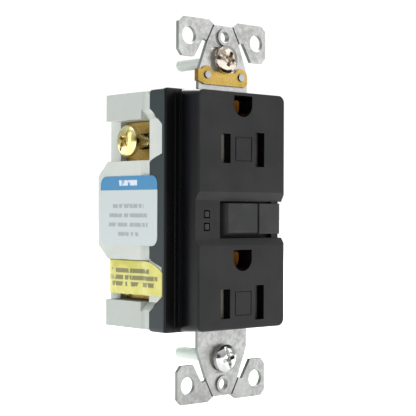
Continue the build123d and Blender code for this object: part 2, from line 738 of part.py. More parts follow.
def terminal_tape():
    """Blank tape from the front tab, over the lower left screw, round to the back."""
    outer, thick = -body_half_width - 0.45, 0.15
    tape = block(-body_half_width - 0.15, -body_half_width, -0.95, 3.0, -23.2, -13.9)
    route = [(outer + 0.3, 3.0), (outer, 9.5), (outer, 21.0), (-17.8, core_rear_y + 0.03),
             (-8.0, core_rear_y + 0.03), (-8.0, core_rear_y + 0.03 + thick),
             (-17.8 - thick, core_rear_y + 0.03 + thick), (outer - thick, 21.0 + thick),
             (outer - thick, 9.5 - thick), (outer + 0.3 - thick, 3.0 - thick)]
    tape = extrude(Plane.XY * outline(*route), amount=9.3)
    tape = Pos(0, 0, -23.2) * tape
    strip = block(outer + 0.3 - thick, outer + 0.3, -0.95, 3.1, -23.2, -13.9)
    return tape + strip


def mirrored(shape):
    return mirror(shape, about=Plane.YZ)


nodes = {
    "front_cover": front_cover(),
    "rear_housing": rear_housing(),
    "middle_frame": middle_frame(),
    "strap": strap(),
    "ground_clip": ground_clip(),
    "strap_rivets": strap_rivets(),
    "ground_contacts": group(*[ground_contact(z) for z in outlet_z]),
    "hot_load_bus": load_bus(),
    "neutral_load_bus": mirrored(load_bus()),
    "hot_line_conductor": line_conductor(),
    "neutral_line_conductor": mirrored(line_conductor()),
    "fixed_contacts": fixed_contacts(),
    "contact_bridges": contact_bridges(),
    "contact_carriage": contact_carriage(),
    "break_springs": break_springs(),
    "latch_plate": latch_plate(),
    "latch_spring": latch_spring(),
    "plunger": plunger(),
    "solenoid_frame": solenoid_frame(),
    "solenoid_bobbin": solenoid_bobbin(),
    "solenoid_coil": solenoid_coil(),
    "sense_toroid": ring(7.5, 3.6, 12.6, 15.8),
    "neutral_toroid": ring(7.5, 3.6, 16.8, 20.0),
    "toroid_boot": toroid_boot(),
    "circuit_board": circuit_board(),
    "varistor": varistor(),
    "capacitor": capacitor(),
    "scr": scr(),
    "control_chip": control_chip(),
    "resistors": resistors(),
    "diodes": diodes(),
    "indicator_leds": indicator_leds(),
    "light_pipe": light_pipe(),
    "shutter_trays": group(*[shutter_tray(z) for z in outlet_z]),
    "upper_shutter": shutter(outlet_z[0]),
    "lower_shutter": shutter(outlet_z[1]),
    "upper_shutter_spring": shutter_spring(outlet_z[0]),
    "lower_shutter_spring": shutter_spring(outlet_z[1]),
    "reset_button": reset_button(),
    "reset_stem": reset_stem(),
    "reset_spring": button_spring(reset_x),
    "test_button": test_button(),
    "test_spring": button_spring(test_x),
    "test_blade": test_blade(),
    "hot_line_screw": wiring_screw(terminal_z, 35),
    "hot_load_screw": wiring_screw(-terminal_z, 70),
    "neutral_line_screw": mirrored(wiring_screw(terminal_z, 15)),
    "neutral_load_screw": mirrored(wiring_screw(-terminal_z, 50)),
    "hot_line_clamp": wiring_clamp(terminal_z),
    "hot_load_clamp": wiring_clamp(-terminal_z),
    "neutral_line_clamp": mirrored(wiring_clamp(terminal_z)),
    "neutral_load_clamp": mirrored(wiring_clamp(-terminal_z)),
    "ground_screw": ground_screw(),
    "upper_mounting_screw": mounting_screw(mount_z[0], 20),
    "lower_mounting_screw": mounting_screw(mount_z[1], 75),
    "upper_screw_washer": screw_washer(mount_z[0]),
    "lower_screw_washer": screw_washer(mount_z[1]),
    "assembly_screws": group(corners(assembly_screw())),
    "side_label": side_label(),
    "terminal_tape": terminal_tape(),
}

for name, shape in nodes.items():
    export_step(shape, f"parts/{name}.step")
print(len(nodes), "nodes written")
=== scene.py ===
import bpy
import bmesh
import math
from mathutils import Vector, Matrix, noise


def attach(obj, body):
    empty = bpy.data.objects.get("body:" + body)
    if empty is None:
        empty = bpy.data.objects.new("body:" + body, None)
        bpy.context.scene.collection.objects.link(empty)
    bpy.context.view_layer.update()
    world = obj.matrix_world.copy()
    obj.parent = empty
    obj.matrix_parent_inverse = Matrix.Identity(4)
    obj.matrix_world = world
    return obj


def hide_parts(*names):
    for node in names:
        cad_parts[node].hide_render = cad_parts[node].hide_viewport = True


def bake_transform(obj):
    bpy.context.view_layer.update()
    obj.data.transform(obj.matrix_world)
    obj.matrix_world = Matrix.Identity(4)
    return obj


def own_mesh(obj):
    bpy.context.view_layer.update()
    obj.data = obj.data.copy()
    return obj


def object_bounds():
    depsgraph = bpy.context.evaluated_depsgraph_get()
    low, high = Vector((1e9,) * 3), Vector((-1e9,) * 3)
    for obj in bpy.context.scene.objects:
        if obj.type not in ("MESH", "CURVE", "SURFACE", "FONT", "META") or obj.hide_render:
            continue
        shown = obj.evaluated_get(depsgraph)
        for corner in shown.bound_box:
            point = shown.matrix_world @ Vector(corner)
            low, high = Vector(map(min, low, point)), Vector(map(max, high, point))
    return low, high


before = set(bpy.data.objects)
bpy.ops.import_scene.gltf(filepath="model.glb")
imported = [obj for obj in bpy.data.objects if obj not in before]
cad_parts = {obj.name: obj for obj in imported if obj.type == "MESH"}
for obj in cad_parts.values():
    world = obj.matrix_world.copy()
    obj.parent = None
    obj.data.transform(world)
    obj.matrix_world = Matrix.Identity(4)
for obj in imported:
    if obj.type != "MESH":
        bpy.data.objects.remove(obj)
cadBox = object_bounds()
mm = 0.001
print("frame loaded,", len(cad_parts), "nodes")


# ---- shader helpers

class Value:
    """A shader socket that can be used in sums."""

    def __init__(self, graph, socket):
        self.graph = graph
        self.socket = socket

    def math(self, operation, first, second=None):
        return self.graph.add("Math", {"operation": operation}, {0: first, 1: second})

    def __add__(self, other):
        return self.math("ADD", self, other)

    def __radd__(self, other):
        return self.math("ADD", other, self)

    def __sub__(self, other):
        return self.math("SUBTRACT", self, other)

    def __rsub__(self, other):
        return self.math("SUBTRACT", other, self)

    def __mul__(self, other):
        return self.math("MULTIPLY", self, other)

    def __abs__(self):
        return self.math("ABSOLUTE", self)


class Nodes:
    """A node tree, with one way to add any node."""

    def __init__(self, tree):
        self.tree = tree

    def feed(self, socket, value):
        if isinstance(value, Value):
            self.tree.links.new(value.socket, socket)
        elif value is not None:
            socket.default_value = value

    def add(self, kind, settings=None, sockets=None, out=0):
        node = self.tree.nodes.new("ShaderNode" + kind)
        for key, setting in (settings or {}).items():
            setattr(node, key, setting)
        for key, value in (sockets or {}).items():
            self.feed(node.inputs[key], value)
        return Value(self, node.outputs[out])

    def step(self, value, low, high):
        return self.add("MapRange", {"interpolation_type": "SMOOTHSTEP"},
                        {"Value": value, "From Min": low, "From Max": high})

    def mix(self, factor, first, second):
        return self.add("Mix", {"data_type": "RGBA"}, {0: factor, 6: first, 7: second}, out=2)


class Graph(Nodes):
    """One material on the Principled shader, placed by the object's own coordinates."""

    def __init__(self, name):
        self.material = bpy.data.materials.new(name)
        self.material.use_nodes = True
        super().__init__(self.material.node_tree)
        self.surface = self.tree.nodes["Principled BSDF"]
        self.place = self.add("TexCoord", out="Object")

    def grain(self, perMetre, detail=3.0, roughness=0.55, stretch=None):
        where = self.place
        if stretch:
            where = self.add("Mapping", None, {"Vector": self.place, "Scale": stretch})
        return self.add("TexNoise", None, {"Vector": where, "Scale": perMetre, "Detail": detail,
                                           "Roughness": roughness})

    def axes(self):
        split = self.add("SeparateXYZ", None, {0: self.place})
        return [Value(self, output) for output in split.socket.node.outputs]

    def edgeOn(self):
        """1 on faces that look sideways, up or down, 0 on those that look forwards or back."""
        normal = self.add("TexCoord", out="Normal")
        return self.step(abs(self.add("SeparateXYZ", None, {0: normal}, out="Y")), 0.80, 0.50)

    def shaded(self, reach):
        """1 in the open, down to 0 inside corners and recesses."""
        clear = self.add("AmbientOcclusion", {"samples": 6}, {"Distance": reach}, out="AO")
        return self.add("MapRange", None, {"Value": clear, "From Min": 0.15, "From Max": 0.85})

    def relief(self, height, depth, rounding=None):
        normal = None
        if rounding:
            normal = self.add("Bevel", {"samples": 6}, {"Radius": rounding})
        return self.add("Bump", None, {"Height": height, "Distance": depth, "Strength": 1.0,
                                       "Normal": normal})

    def finish(self, **sockets):
        names = {"colour": "Base Color", "roughness": "Roughness", "metal": "Metallic",
                 "normal": "Normal", "coat": "Coat Weight", "coatRoughness": "Coat Roughness",
                 "specular": "Specular IOR Level"}
        for key, value in sockets.items():
            self.feed(self.surface.inputs[names[key]], value)
        return self.material


def rgb(*shade):
    return (*shade, 1)


# ---- plastics

coverLook = {
    "face": rgb(0.014, 0.0135, 0.0135), "faceLight": rgb(0.021, 0.020, 0.020),
    # shoulder is painted shade: near-black where the face block shades it
    # side is a painted reflection: blue-grey from the bright surroundings at a grazing angle
    "shoulder": rgb(0.002, 0.002, 0.0022), "side": rgb(0.031, 0.040, 0.043),
    # wall is painted shade on the face block's side walls, with a faint painted blue reflection
    "wall": rgb(0.002, 0.0021, 0.0028), "dust": rgb(0.24, 0.24, 0.23),
    "faceBegins": (-1.9 * mm, -3.2 * mm), "sideBegins": (21.2 * mm, 21.45 * mm),
    "grainPerMetre": 2600, "specksPerMetre": 420.0, "edgeRounding": 0.22 * mm,
}


def coverPlastic():
    g = Graph("charcoal_cover")
    x, y, _ = g.axes()
    cloud = g.grain(90, 4)
    fine = g.grain(coverLook["grainPerMetre"], 2, 0.6)
    onFace = g.step(y, *coverLook["faceBegins"])
    onSheenSide = g.step(abs(x), *coverLook["sideBegins"])
    face = g.mix(g.step(cloud, 0.35, 0.65), coverLook["face"], coverLook["faceLight"])
    # painted shade: the shoulder around the face block is made near-black
    colour = g.mix(onFace, coverLook["shoulder"], face)
    # painted reflection: the outer sides of the cover get a blue-grey sheen
    colour = g.mix(onSheenSide, colour, coverLook["side"])
    # painted shade: the face block's side walls are darkened
    onShadedWall = g.edgeOn() * onFace
    colour = g.mix(onShadedWall, colour, coverLook["wall"])
    specks = g.add("TexVoronoi", {"feature": "F1"},
                   {"Vector": g.place, "Scale": coverLook["specksPerMetre"], "Randomness": 1.0})
    seldom = g.step(g.grain(700, 1), 0.66, 0.70)
    dust = g.step(specks, 0.085, 0.06) * seldom
    colour = g.mix(dust * 0.8, colour, coverLook["dust"])
    roughness = 0.28 + onFace * 0.18 - onShadedWall * 0.22 + (cloud - 0.5) * 0.10 + onSheenSide * 0.04
    return g.finish(colour=colour, roughness=roughness, specular=0.24,
                    normal=g.relief(fine, 0.012 * mm, coverLook["edgeRounding"]))


buttonLook = {"colour": rgb(0.022, 0.0215, 0.022), "worn": rgb(0.031, 0.030, 0.031),
              "edgeRounding": 0.2 * mm}


def buttonPlastic():
    g = Graph("charcoal_button")
    cloud = g.grain(160, 4)
    fine = g.grain(1800, 3)
    colour = g.mix(g.step(cloud, 0.4, 0.65), buttonLook["colour"], buttonLook["worn"])
    return g.finish(colour=colour, roughness=0.34 + (cloud - 0.5) * 0.16, specular=0.32,
                    normal=g.relief(fine, 0.008 * mm, buttonLook["edgeRounding"]))


housingLook = {
    "colour": rgb(0.56, 0.585, 0.545), "shade": rgb(0.50, 0.525, 0.485),
    # ends is painted shade: the end blocks are darkened
    "stain": rgb(0.42, 0.44, 0.40), "ends": rgb(0.41, 0.435, 0.40),
    "endsAbove": (24.9 * mm, 25.3 * mm), "endsBeyond": (20.6 * mm, 21.3 * mm),
    "edgeRounding": 0.25 * mm, "glowDepth": 0.6 * mm, "glow": 0.12,
}


def housingPlastic():
    g = Graph("pale_grey_housing")
    cloud = g.grain(60, 4)
    fine = g.grain(2200, 2)
    flow = g.grain(25, 5, 0.6, stretch=(1, 3, 1))
    colour = g.mix(g.step(cloud, 0.3, 0.75), housingLook["colour"], housingLook["shade"])
    colour = g.mix(g.step(flow, 0.60, 0.82) * 0.35, colour, housingLook["stain"])
    x, _, z = g.axes()
    # painted shade: the end blocks beyond endsAbove in z and endsBeyond in x are darkened
    ends = g.step(abs(z), *housingLook["endsAbove"]) * g.step(abs(x), *housingLook["endsBeyond"])
    colour = g.mix(ends * 0.75, colour, housingLook["ends"])
    g.surface.inputs["Subsurface Weight"].default_value = housingLook["glow"]
    g.surface.inputs["Subsurface Scale"].default_value = housingLook["glowDepth"]
    return g.finish(colour=colour, roughness=0.46 + (cloud - 0.5) * 0.14,
                    normal=g.relief(fine, 0.01 * mm, housingLook["edgeRounding"]))


def mouldedPlastic(name, look):
    g = Graph(name)
    cloud = g.grain(120, 4)
    fine = g.grain(2400, 2)
    colour = g.mix(g.step(cloud, 0.35, 0.7), look["colour"], look["shade"])
    # painted shade: the part right of darkFrom is darkened towards the dark colour
    if "darkFrom" in look:
        x = g.axes()[0]
        right = g.step(x, look["darkFrom"] * mm, (look["darkFrom"] + 2) * mm)
        colour = g.mix(right * 0.85, colour, look["dark"])
    return g.finish(colour=colour, roughness=look.get("roughness", 0.45) + (cloud - 0.5) * 0.14,
                    coat=look.get("coat", 0.0), specular=look.get("specular", 0.5),
                    normal=g.relief(fine, 0.01 * mm))


# ---- metals

strapLook = {
    "colour": rgb(0.60, 0.60, 0.585), "bright": rgb(0.72, 0.72, 0.71), "dull": rgb(0.36, 0.36, 0.35),
    # neckPaintedLight is painted light: the strap's neck is lightened
    "scratch": rgb(0.84, 0.84, 0.83), "neckPaintedLight": rgb(0.88, 0.88, 0.87),
    # seam is painted shade, laid into corners by ambient occlusion
    "cornerShade": rgb(0.07, 0.07, 0.068), "edge": rgb(0.20, 0.21, 0.19),
    "neckTop": (44.5 * mm, 39.5 * mm), "neckFoot": (0.0, 5 * mm), "lowerEar": (-37 * mm, -44 * mm),
    "cornerShadeReach": 0.5 * mm, "edgeRounding": 0.12 * mm,
}


def strapSteel():
    g = Graph("galvanised_strap")
    spangle = g.add("TexVoronoi", {"feature": "F1"}, {"Vector": g.place, "Scale": 900.0})
    cloud = g.grain(620, 5, 0.7)
    broad = g.grain(90, 3)
    brushed = g.grain(500, 3, 0.6, stretch=(8, 8, 0.6))
    pits = g.grain(1500, 3, 0.7)
    colour = g.mix(g.step(cloud, 0.35, 0.68), strapLook["dull"], strapLook["colour"])
    colour = g.mix(g.step(broad, 0.45, 0.7) * 0.45, colour, strapLook["bright"])
    colour = g.mix(g.step(brushed, 0.62, 0.72) * 0.3, colour, strapLook["scratch"])
    colour = g.mix(g.step(pits, 0.54, 0.66) * 0.6, colour, strapLook["dull"])
    z = g.axes()[2]
    # painted light: the neck between neckFoot and neckTop is lightened
    litNeckMask = g.step(z, *strapLook["neckTop"]) * g.step(z, *strapLook["neckFoot"])
    colour = g.mix(litNeckMask * 0.45, colour, strapLook["neckPaintedLight"])
    colour = g.mix(g.step(z, *strapLook["lowerEar"]) * 0.25, colour, strapLook["dull"])
    colour = g.mix(g.edgeOn() * 0.8, colour, strapLook["edge"])
    # painted shade: the strap darkens into its corners and recesses
    colour = g.mix(g.shaded(strapLook["cornerShadeReach"]), strapLook["cornerShade"], colour)
    roughness = 0.36 + (cloud - 0.5) * 0.3 + spangle * 0.08
    height = cloud * 0.5 + brushed * 0.2 + pits * 0.3
    return g.finish(colour=colour, metal=0.8, roughness=roughness,
                    normal=g.relief(height, 0.05 * mm, strapLook["edgeRounding"]))


shankBegins = (-0.4 * mm, 0.0)


def rolledMetal(name, look):
    """A look may have painted shade in its recesses, darker edges, and a shank that isn't plated like the
    head.
    """
    g = Graph(name)
    cloud = g.grain(300, 4)
    drawn = g.grain(700, 3, 0.6, stretch=(6, 1, 1))
    colour = g.mix(g.step(cloud, 0.35, 0.7), look["colour"], look["shade"])
    rough = look.get("roughness", 0.28)
    metal = look.get("metal", 1.0)
    if "edge" in look:
        colour = g.mix(g.edgeOn() * 0.7, colour, look["edge"])
    if "recessShade" in look:
        # painted shade: the colour darkens into recesses and corners by ambient occlusion
        colour = g.mix(g.shaded(look.get("reach", 0.8) * mm), look["recessShade"], colour)
    if "shank" in look:
        behind = g.step(g.axes()[1], *shankBegins)
        colour = g.mix(behind, colour, look["shank"])
        metal = metal - behind * 0.8
        rough = rough + behind * 0.35
    return g.finish(colour=colour, metal=metal,
                    roughness=rough + (cloud - 0.5) * 0.2 + (drawn - 0.5) * 0.1,
                    normal=g.relief(drawn * 0.5 + cloud * 0.5, look.get("relief", 0.008) * mm,
                                    look.get("rounding", 0.1) * mm))


# ---- stickers

labelLook = {
    "paper": rgb(0.51, 0.555, 0.55), "band": rgb(0.040, 0.215, 0.41), "ink": rgb(0.20, 0.22, 0.23),
    "white": rgb(0.80, 0.84, 0.86), "bandFrom": 5.6, "bandSoft": 0.08,
    "lines": [(1.2, 7.0), (-1.4, 8.6), (-4.0, 8.9), (-6.6, 4.6)],          # height, half width
    "centre": 14.1, "lineHalfHeight": 0.55,
    "heading": {"middle": 14.5, "halfWidth": 4.4, "level": 7.6, "halfHeight": 0.75},
}


def bar(g, across, up, middle, halfWidth, level, halfHeight, soft=0.15):
    inside = g.step(abs(across - middle * mm), (halfWidth + soft) * mm, (halfWidth - soft) * mm)
    return inside * g.step(abs(up - level * mm), (halfHeight + soft) * mm, (halfHeight - soft) * mm)


def labelPaper():
    g = Graph("notice_label")
    _, y, z = g.axes()
    fibre = g.grain(900, 4)
    bandFrom = labelLook["bandFrom"]
    soft = labelLook["bandSoft"]
    colour = g.mix(g.step(z, (bandFrom - soft) * mm, (bandFrom + soft) * mm),
                   labelLook["paper"], labelLook["band"])
    broken = g.step(g.grain(900, 1, 0.4, stretch=(1, 1, 0.3)), 0.38, 0.44)
    for level, halfWidth in labelLook["lines"]:
        ink = bar(g, y, z, labelLook["centre"], halfWidth, level, labelLook["lineHalfHeight"]) * broken
        colour = g.mix(ink * 0.62, colour, labelLook["ink"])
    white = bar(g, y, z, **labelLook["heading"]) * broken
    colour = g.mix(white * 0.75, colour, labelLook["white"])
    return g.finish(colour=colour, roughness=0.34 + (fibre - 0.5) * 0.1, specular=0.5, coat=0.25,
                    coatRoughness=0.25, normal=g.relief(g.grain(120, 3), 0.03 * mm))


tapeLook = {
    "film": rgb(0.56, 0.52, 0.095), "light": rgb(0.64, 0.60, 0.16), "ink": rgb(0.05, 0.045, 0.02),
    "lines": [(-16.7, 8.5, 13.0), (-18.6, 10.6, 11.6), (-20.4, 9.6, 11.4)],  # height, half width, middle
    "lineHalfHeight": 0.62, "inkEnds": (26.5 * mm, 26.0 * mm),
}


def tapeFilm():
    g = Graph("terminal_tape")
    _, y, z = g.axes()
    cloud = g.grain(180, 4)
    colour = g.mix(g.step(cloud, 0.35, 0.7), tapeLook["film"], tapeLook["light"])
    broken = g.step(g.grain(950, 1, 0.4, stretch=(1, 1, 0.28)), 0.38, 0.44)
    front = g.step(y, *tapeLook["inkEnds"])
    for level, halfWidth, middle in tapeLook["lines"]:
        ink = bar(g, y, z, middle, halfWidth, level, tapeLook["lineHalfHeight"]) * broken * front
        colour = g.mix(ink * 0.78, colour, tapeLook["ink"])
    return g.finish(colour=colour, roughness=0.30 + (cloud - 0.5) * 0.12, coat=0.4, coatRoughness=0.18,
                    normal=g.relief(g.grain(140, 4), 0.06 * mm))


# ---- one finish for each kind of material, and the nodes that wear it

finishes = {
    "front_cover": coverPlastic(),
    "rear_housing": housingPlastic(),
    "button": buttonPlastic(),
    "strap": strapSteel(),
    "inner_plastic": mouldedPlastic("black_inner_plastic", {"colour": rgb(0.02, 0.02, 0.021),
                                    "shade": rgb(0.03, 0.03, 0.03)}),
    "carriage_plastic": mouldedPlastic("natural_nylon", {"colour": rgb(0.62, 0.60, 0.53),
                                       "shade": rgb(0.54, 0.52, 0.45)}),
    # the shutter's right half is darkened as painted shade
    "shutter_plastic": mouldedPlastic("beige_shutter", {"colour": rgb(0.30, 0.265, 0.21),
                                      "shade": rgb(0.24, 0.21, 0.17), "darkFrom": 0.0,
                                      "dark": rgb(0.012, 0.011, 0.010)}),
    "clear_plastic": mouldedPlastic("clear_light_pipe", {"colour": rgb(0.042, 0.042, 0.042),
                                    "shade": rgb(0.065, 0.065, 0.065), "specular": 0.07}),
    "lamp": mouldedPlastic("lamp_body", {"colour": rgb(0.75, 0.76, 0.72), "shade": rgb(0.66, 0.66, 0.6)}),
    "board": mouldedPlastic("circuit_board_green", {"colour": rgb(0.02, 0.13, 0.05),
                            "shade": rgb(0.03, 0.17, 0.07), "coat": 0.5}),
    "component_black": mouldedPlastic("component_black", {"colour": rgb(0.015, 0.015, 0.015),
                                      "shade": rgb(0.03, 0.03, 0.03), "roughness": 0.55}),
    "ferrite": mouldedPlastic("coated_ferrite", {"colour": rgb(0.05, 0.05, 0.055),
                              "shade": rgb(0.08, 0.08, 0.085), "roughness": 0.6}),
    "varistor": mouldedPlastic("dipped_varistor", {"colour": rgb(0.02, 0.08, 0.32),
                               "shade": rgb(0.03, 0.11, 0.38), "coat": 0.7}),
    "capacitor": mouldedPlastic("capacitor_case", {"colour": rgb(0.42, 0.12, 0.02),
                                "shade": rgb(0.50, 0.17, 0.03), "coat": 0.6}),
    "resistor": mouldedPlastic("resistor_body", {"colour": rgb(0.50, 0.38, 0.22),
                               "shade": rgb(0.42, 0.30, 0.17)}),
    "fibre": mouldedPlastic("fibre_washer", {"colour": rgb(0.62, 0.60, 0.55),
                            "shade": rgb(0.50, 0.48, 0.42), "roughness": 0.7}),
    # The recess colours in these looks are painted shade, laid into hollows by ambient occlusion.
    "clip_brass": rolledMetal("clip_brass", {"colour": rgb(0.58, 0.395, 0.105),
                              "shade": rgb(0.45, 0.29, 0.065), "relief": 0.02,
                              "recessShade": rgb(0.10, 0.05, 0.01), "reach": 0.5,
                              "edge": rgb(0.26, 0.15, 0.02)}),
    "brass": rolledMetal("rolled_brass", {"colour": rgb(0.86, 0.59, 0.15), "shade": rgb(0.74, 0.48, 0.10),
                         "relief": 0.02, "recessShade": rgb(0.20, 0.11, 0.025), "reach": 0.4, "metal": 0.6,
                         "edge": rgb(0.34, 0.21, 0.04)}),
    "clamp_steel": rolledMetal("pale_plate", {"colour": rgb(0.88, 0.87, 0.80), "shade": rgb(0.78, 0.76, 0.68),
                               "metal": 0.25, "roughness": 0.4}),
    "contact_brass": rolledMetal("contact_brass", {"colour": rgb(0.95, 0.42, 0.06),
                                 "shade": rgb(0.85, 0.34, 0.05), "roughness": 0.45, "metal": 0.5}),
    "screw_brass": rolledMetal("pale_brass_plate", {"colour": rgb(0.86, 0.76, 0.40),
                               "shade": rgb(0.76, 0.62, 0.25), "roughness": 0.2, "relief": 0.02,
                               "recessShade": rgb(0.16, 0.085, 0.015), "reach": 0.9}),
    "screw_silver": rolledMetal("silver_plate", {"colour": rgb(0.80, 0.79, 0.76),
                                "shade": rgb(0.68, 0.67, 0.64), "roughness": 0.2}),
    "nickel_screw": rolledMetal("nickel_plate", {"colour": rgb(0.66, 0.58, 0.50),
                                "shade": rgb(0.46, 0.39, 0.31), "roughness": 0.14, "rounding": 0.15,
                                "recessShade": rgb(0.09, 0.055, 0.022), "reach": 1.0,
                                "shank": rgb(0.56, 0.58, 0.55)}),
    "bright_screw": rolledMetal("bright_zinc", {"colour": rgb(0.78, 0.78, 0.77),
                                "shade": rgb(0.62, 0.62, 0.61), "roughness": 0.10, "rounding": 0.15,
                                "recessShade": rgb(0.05, 0.05, 0.045), "shank": rgb(0.60, 0.66, 0.62)}),
    "plain_screw": rolledMetal("assembly_zinc", {"colour": rgb(0.70, 0.69, 0.66),
                               "shade": rgb(0.58, 0.57, 0.54), "roughness": 0.25}),
    "rivet": rolledMetal("rivet_steel", {"colour": rgb(0.52, 0.54, 0.57), "shade": rgb(0.40, 0.42, 0.44),
                         "recessShade": rgb(0.05, 0.045, 0.035), "reach": 0.5, "edge": rgb(0.08, 0.075, 0.06)}),
    "bracket_steel": rolledMetal("plain_steel", {"colour": rgb(0.50, 0.50, 0.49),
                                 "shade": rgb(0.42, 0.42, 0.41), "roughness": 0.4}),
    "spring_steel": rolledMetal("spring_wire", {"colour": rgb(0.58, 0.58, 0.57),
                                "shade": rgb(0.46, 0.46, 0.45)}),
    "copper": rolledMetal("copper_strip", {"colour": rgb(0.75, 0.33, 0.17), "shade": rgb(0.62, 0.25, 0.12)}),
    "silver": rolledMetal("contact_silver", {"colour": rgb(0.85, 0.85, 0.84), "shade": rgb(0.7, 0.7, 0.7)}),
    "green_screw": rolledMetal("green_screw", {"colour": rgb(0.02, 0.22, 0.06),
                               "shade": rgb(0.03, 0.28, 0.08), "metal": 0.4, "roughness": 0.35}),
    "label": labelPaper(),
    "tape": tapeFilm(),
}
worn = {
    "front_cover": ["front_cover"], "rear_housing": ["rear_housing"],
    "button": ["reset_button", "test_button"], "strap": ["strap"],
    "inner_plastic": ["middle_frame", "shutter_trays"],
    "carriage_plastic": ["contact_carriage", "solenoid_bobbin", "toroid_boot"],
    "shutter_plastic": ["upper_shutter", "lower_shutter"], "clear_plastic": ["light_pipe"],
    "lamp": ["indicator_leds"], "board": ["circuit_board"],
    "component_black": ["scr", "control_chip", "diodes"], "ferrite": ["sense_toroid", "neutral_toroid"],
    "varistor": ["varistor"], "capacitor": ["capacitor"], "resistor": ["resistors"],
    "fibre": ["upper_screw_washer", "lower_screw_washer"],
    "clip_brass": ["ground_clip"],
    "brass": ["hot_load_bus", "neutral_load_bus", "hot_line_conductor", "neutral_line_conductor"],
    "clamp_steel": ["hot_line_clamp", "hot_load_clamp", "neutral_line_clamp", "neutral_load_clamp"],
    "contact_brass": ["ground_contacts"], "screw_brass": ["hot_line_screw", "hot_load_screw"],
    "screw_silver": ["neutral_line_screw", "neutral_load_screw"],
    "nickel_screw": ["upper_mounting_screw"], "bright_screw": ["lower_mounting_screw"],
    "plain_screw": ["assembly_screws"],
    "rivet": ["strap_rivets"], "bracket_steel": ["solenoid_frame", "plunger", "latch_plate", "reset_stem"],
    "spring_steel": ["reset_spring", "test_spring", "latch_spring", "break_springs",
                     "upper_shutter_spring", "lower_shutter_spring"],
    "copper": ["solenoid_coil", "contact_bridges", "test_blade"], "silver": ["fixed_contacts"],
    "green_screw": ["ground_screw"], "label": ["side_label"], "tape": ["terminal_tape"],
}
for finish, nodes in worn.items():
    for node in nodes:
        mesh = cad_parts[node].data
        mesh.materials.clear()
        mesh.materials.append(finishes[finish])
print("materials on", sum(len(nodes) for nodes in worn.values()), "nodes")


# ---- our own meshes

def share(value):
    """The value held between 0 and 1."""
    return min(1, max(0, value))


def showPiece(name, mesh, finish):
    data = bpy.data.meshes.new(name)
    mesh.to_mesh(data)
    data.shade_smooth()
    data.materials.append(finishes[finish])
    piece = bpy.data.objects.new(name, data)
    bpy.context.scene.collection.objects.link(piece)
    return piece


def joinRings(mesh, rings, closed):
    """Faces between neighbouring rings of vertices; a closed ring is a tube with both ends capped."""
    sides = len(rings[0]) if closed else len(rings[0]) - 1
    for ring, following in zip(rings, rings[1:]):
        for k in range(sides):
            after = (k + 1) % len(ring)
            mesh.faces.new((ring[k], ring[after], following[after], following[k]))
    if closed:
        mesh.faces.new(rings[0])
        mesh.faces.new(reversed(rings[-1]))
    bmesh.ops.recalc_face_normals(mesh, faces=mesh.faces)


# ---- the terminal tape as it lies: over the screw head, trimmed along the tab, wrapped behind

tapeShape = {
    "top": -13.9, "bottom": -23.2, "thick": 0.14, "across": 44, "pathStep": 0.35, "smoothings": 6,
    "trimFrom": 6.0, "trimTo": -0.9, "trimDrop": 2.9, "trimCurve": 1.7,
    "side": -21.6, "turnsOver": 3,
    "screw": (16.2, -19.4), "headR": 4.5,
    "spanFrom": 5.5, "spanTo": 22.5,
    "sag": 0.9, "sagReach": 3.5, "sagCurve": 1.3,
    "ripple": 0.924, "rippleBelow": -20.2, "rippleDepth": 3.0, "rippleWidth": 4.6, "clearOfHead": 3.3,
    "waviness": 0.10,
    "path": [(-21.60, -0.9), (-21.60, 2.6), (-21.90, 8.6), (-21.95, 20.6), (-21.4, 22.6),
             (-17.95, 27.62), (-8.0, 27.62)],
}


def tapePath(step):
    corners = [Vector(corner) for corner in tapeShape["path"]]
    places = []
    for start, end in zip(corners, corners[1:]):
        count = max(2, int((end - start).length / step))
        places += [start.lerp(end, i / count) for i in range(count)]
    places.append(corners[-1])
    for _ in range(tapeShape["smoothings"]):
        middle = [(a + b + c) / 3 for a, b, c in zip(places, places[1:], places[2:])]
        places = [places[0]] + middle + [places[-1]]
    return places


def tapeDip(y, z):
    """How far the film falls back from its outermost line, in mm."""
    screwY, screwZ = tapeShape["screw"]
    away = math.hypot(y - screwY, z - screwZ)
    spanned = share((y - tapeShape["spanFrom"]) / 3) * share((tapeShape["spanTo"] - y) / 2.5)
    beyondHead = share((away - tapeShape["headR"]) / tapeShape["sagReach"])
    sag = tapeShape["sag"] * spanned * beyondHead ** tapeShape["sagCurve"]
    low = share((tapeShape["rippleBelow"] - z) / tapeShape["rippleDepth"])
    wave = math.sin((y - screwY) * 1.9 + 0.8) * 0.5 + 0.5
    near = math.exp(-((y - screwY) / tapeShape["rippleWidth"]) ** 2)
    near *= share((away - tapeShape["clearOfHead"]) / 1.2)
    broad = tapeShape["waviness"] * (noise.noise(Vector((y * 0.16, z * 0.22, 3.0))) + 1)
    return sag + tapeShape["ripple"] * low * wave * near * spanned + broad * spanned


def tapeDrop(y):
    """How far the front corner is trimmed down, in mm."""
    if y >= tapeShape["trimFrom"]:
        return 0
    along = (tapeShape["trimFrom"] - y) / (tapeShape["trimFrom"] - tapeShape["trimTo"])
    return tapeShape["trimDrop"] * along ** tapeShape["trimCurve"]


def terminalTape():
    mesh = bmesh.new()
    rows = []
    bottom = tapeShape["bottom"]
    for x, y in tapePath(tapeShape["pathStep"]):
        back = share((x - tapeShape["side"]) / tapeShape["turnsOver"])
        top = tapeShape["top"] - tapeDrop(y)
        row = []
        for i in range(tapeShape["across"] + 1):
            z = bottom + (top - bottom) * i / tapeShape["across"]
            row.append(mesh.verts.new(Vector((x + tapeDip(y, z) * (1 - back), y, z)) * mm))
        rows.append(row)
    joinRings(mesh, rows, closed=False)
    piece = showPiece("tape_film", mesh, "tape")
    solid = piece.modifiers.new("thickness", "SOLIDIFY")
    solid.thickness = tapeShape["thick"] * mm
    solid.offset = 0
    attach(piece, "housing")
    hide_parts("terminal_tape")


terminalTape()
print("tape laid")
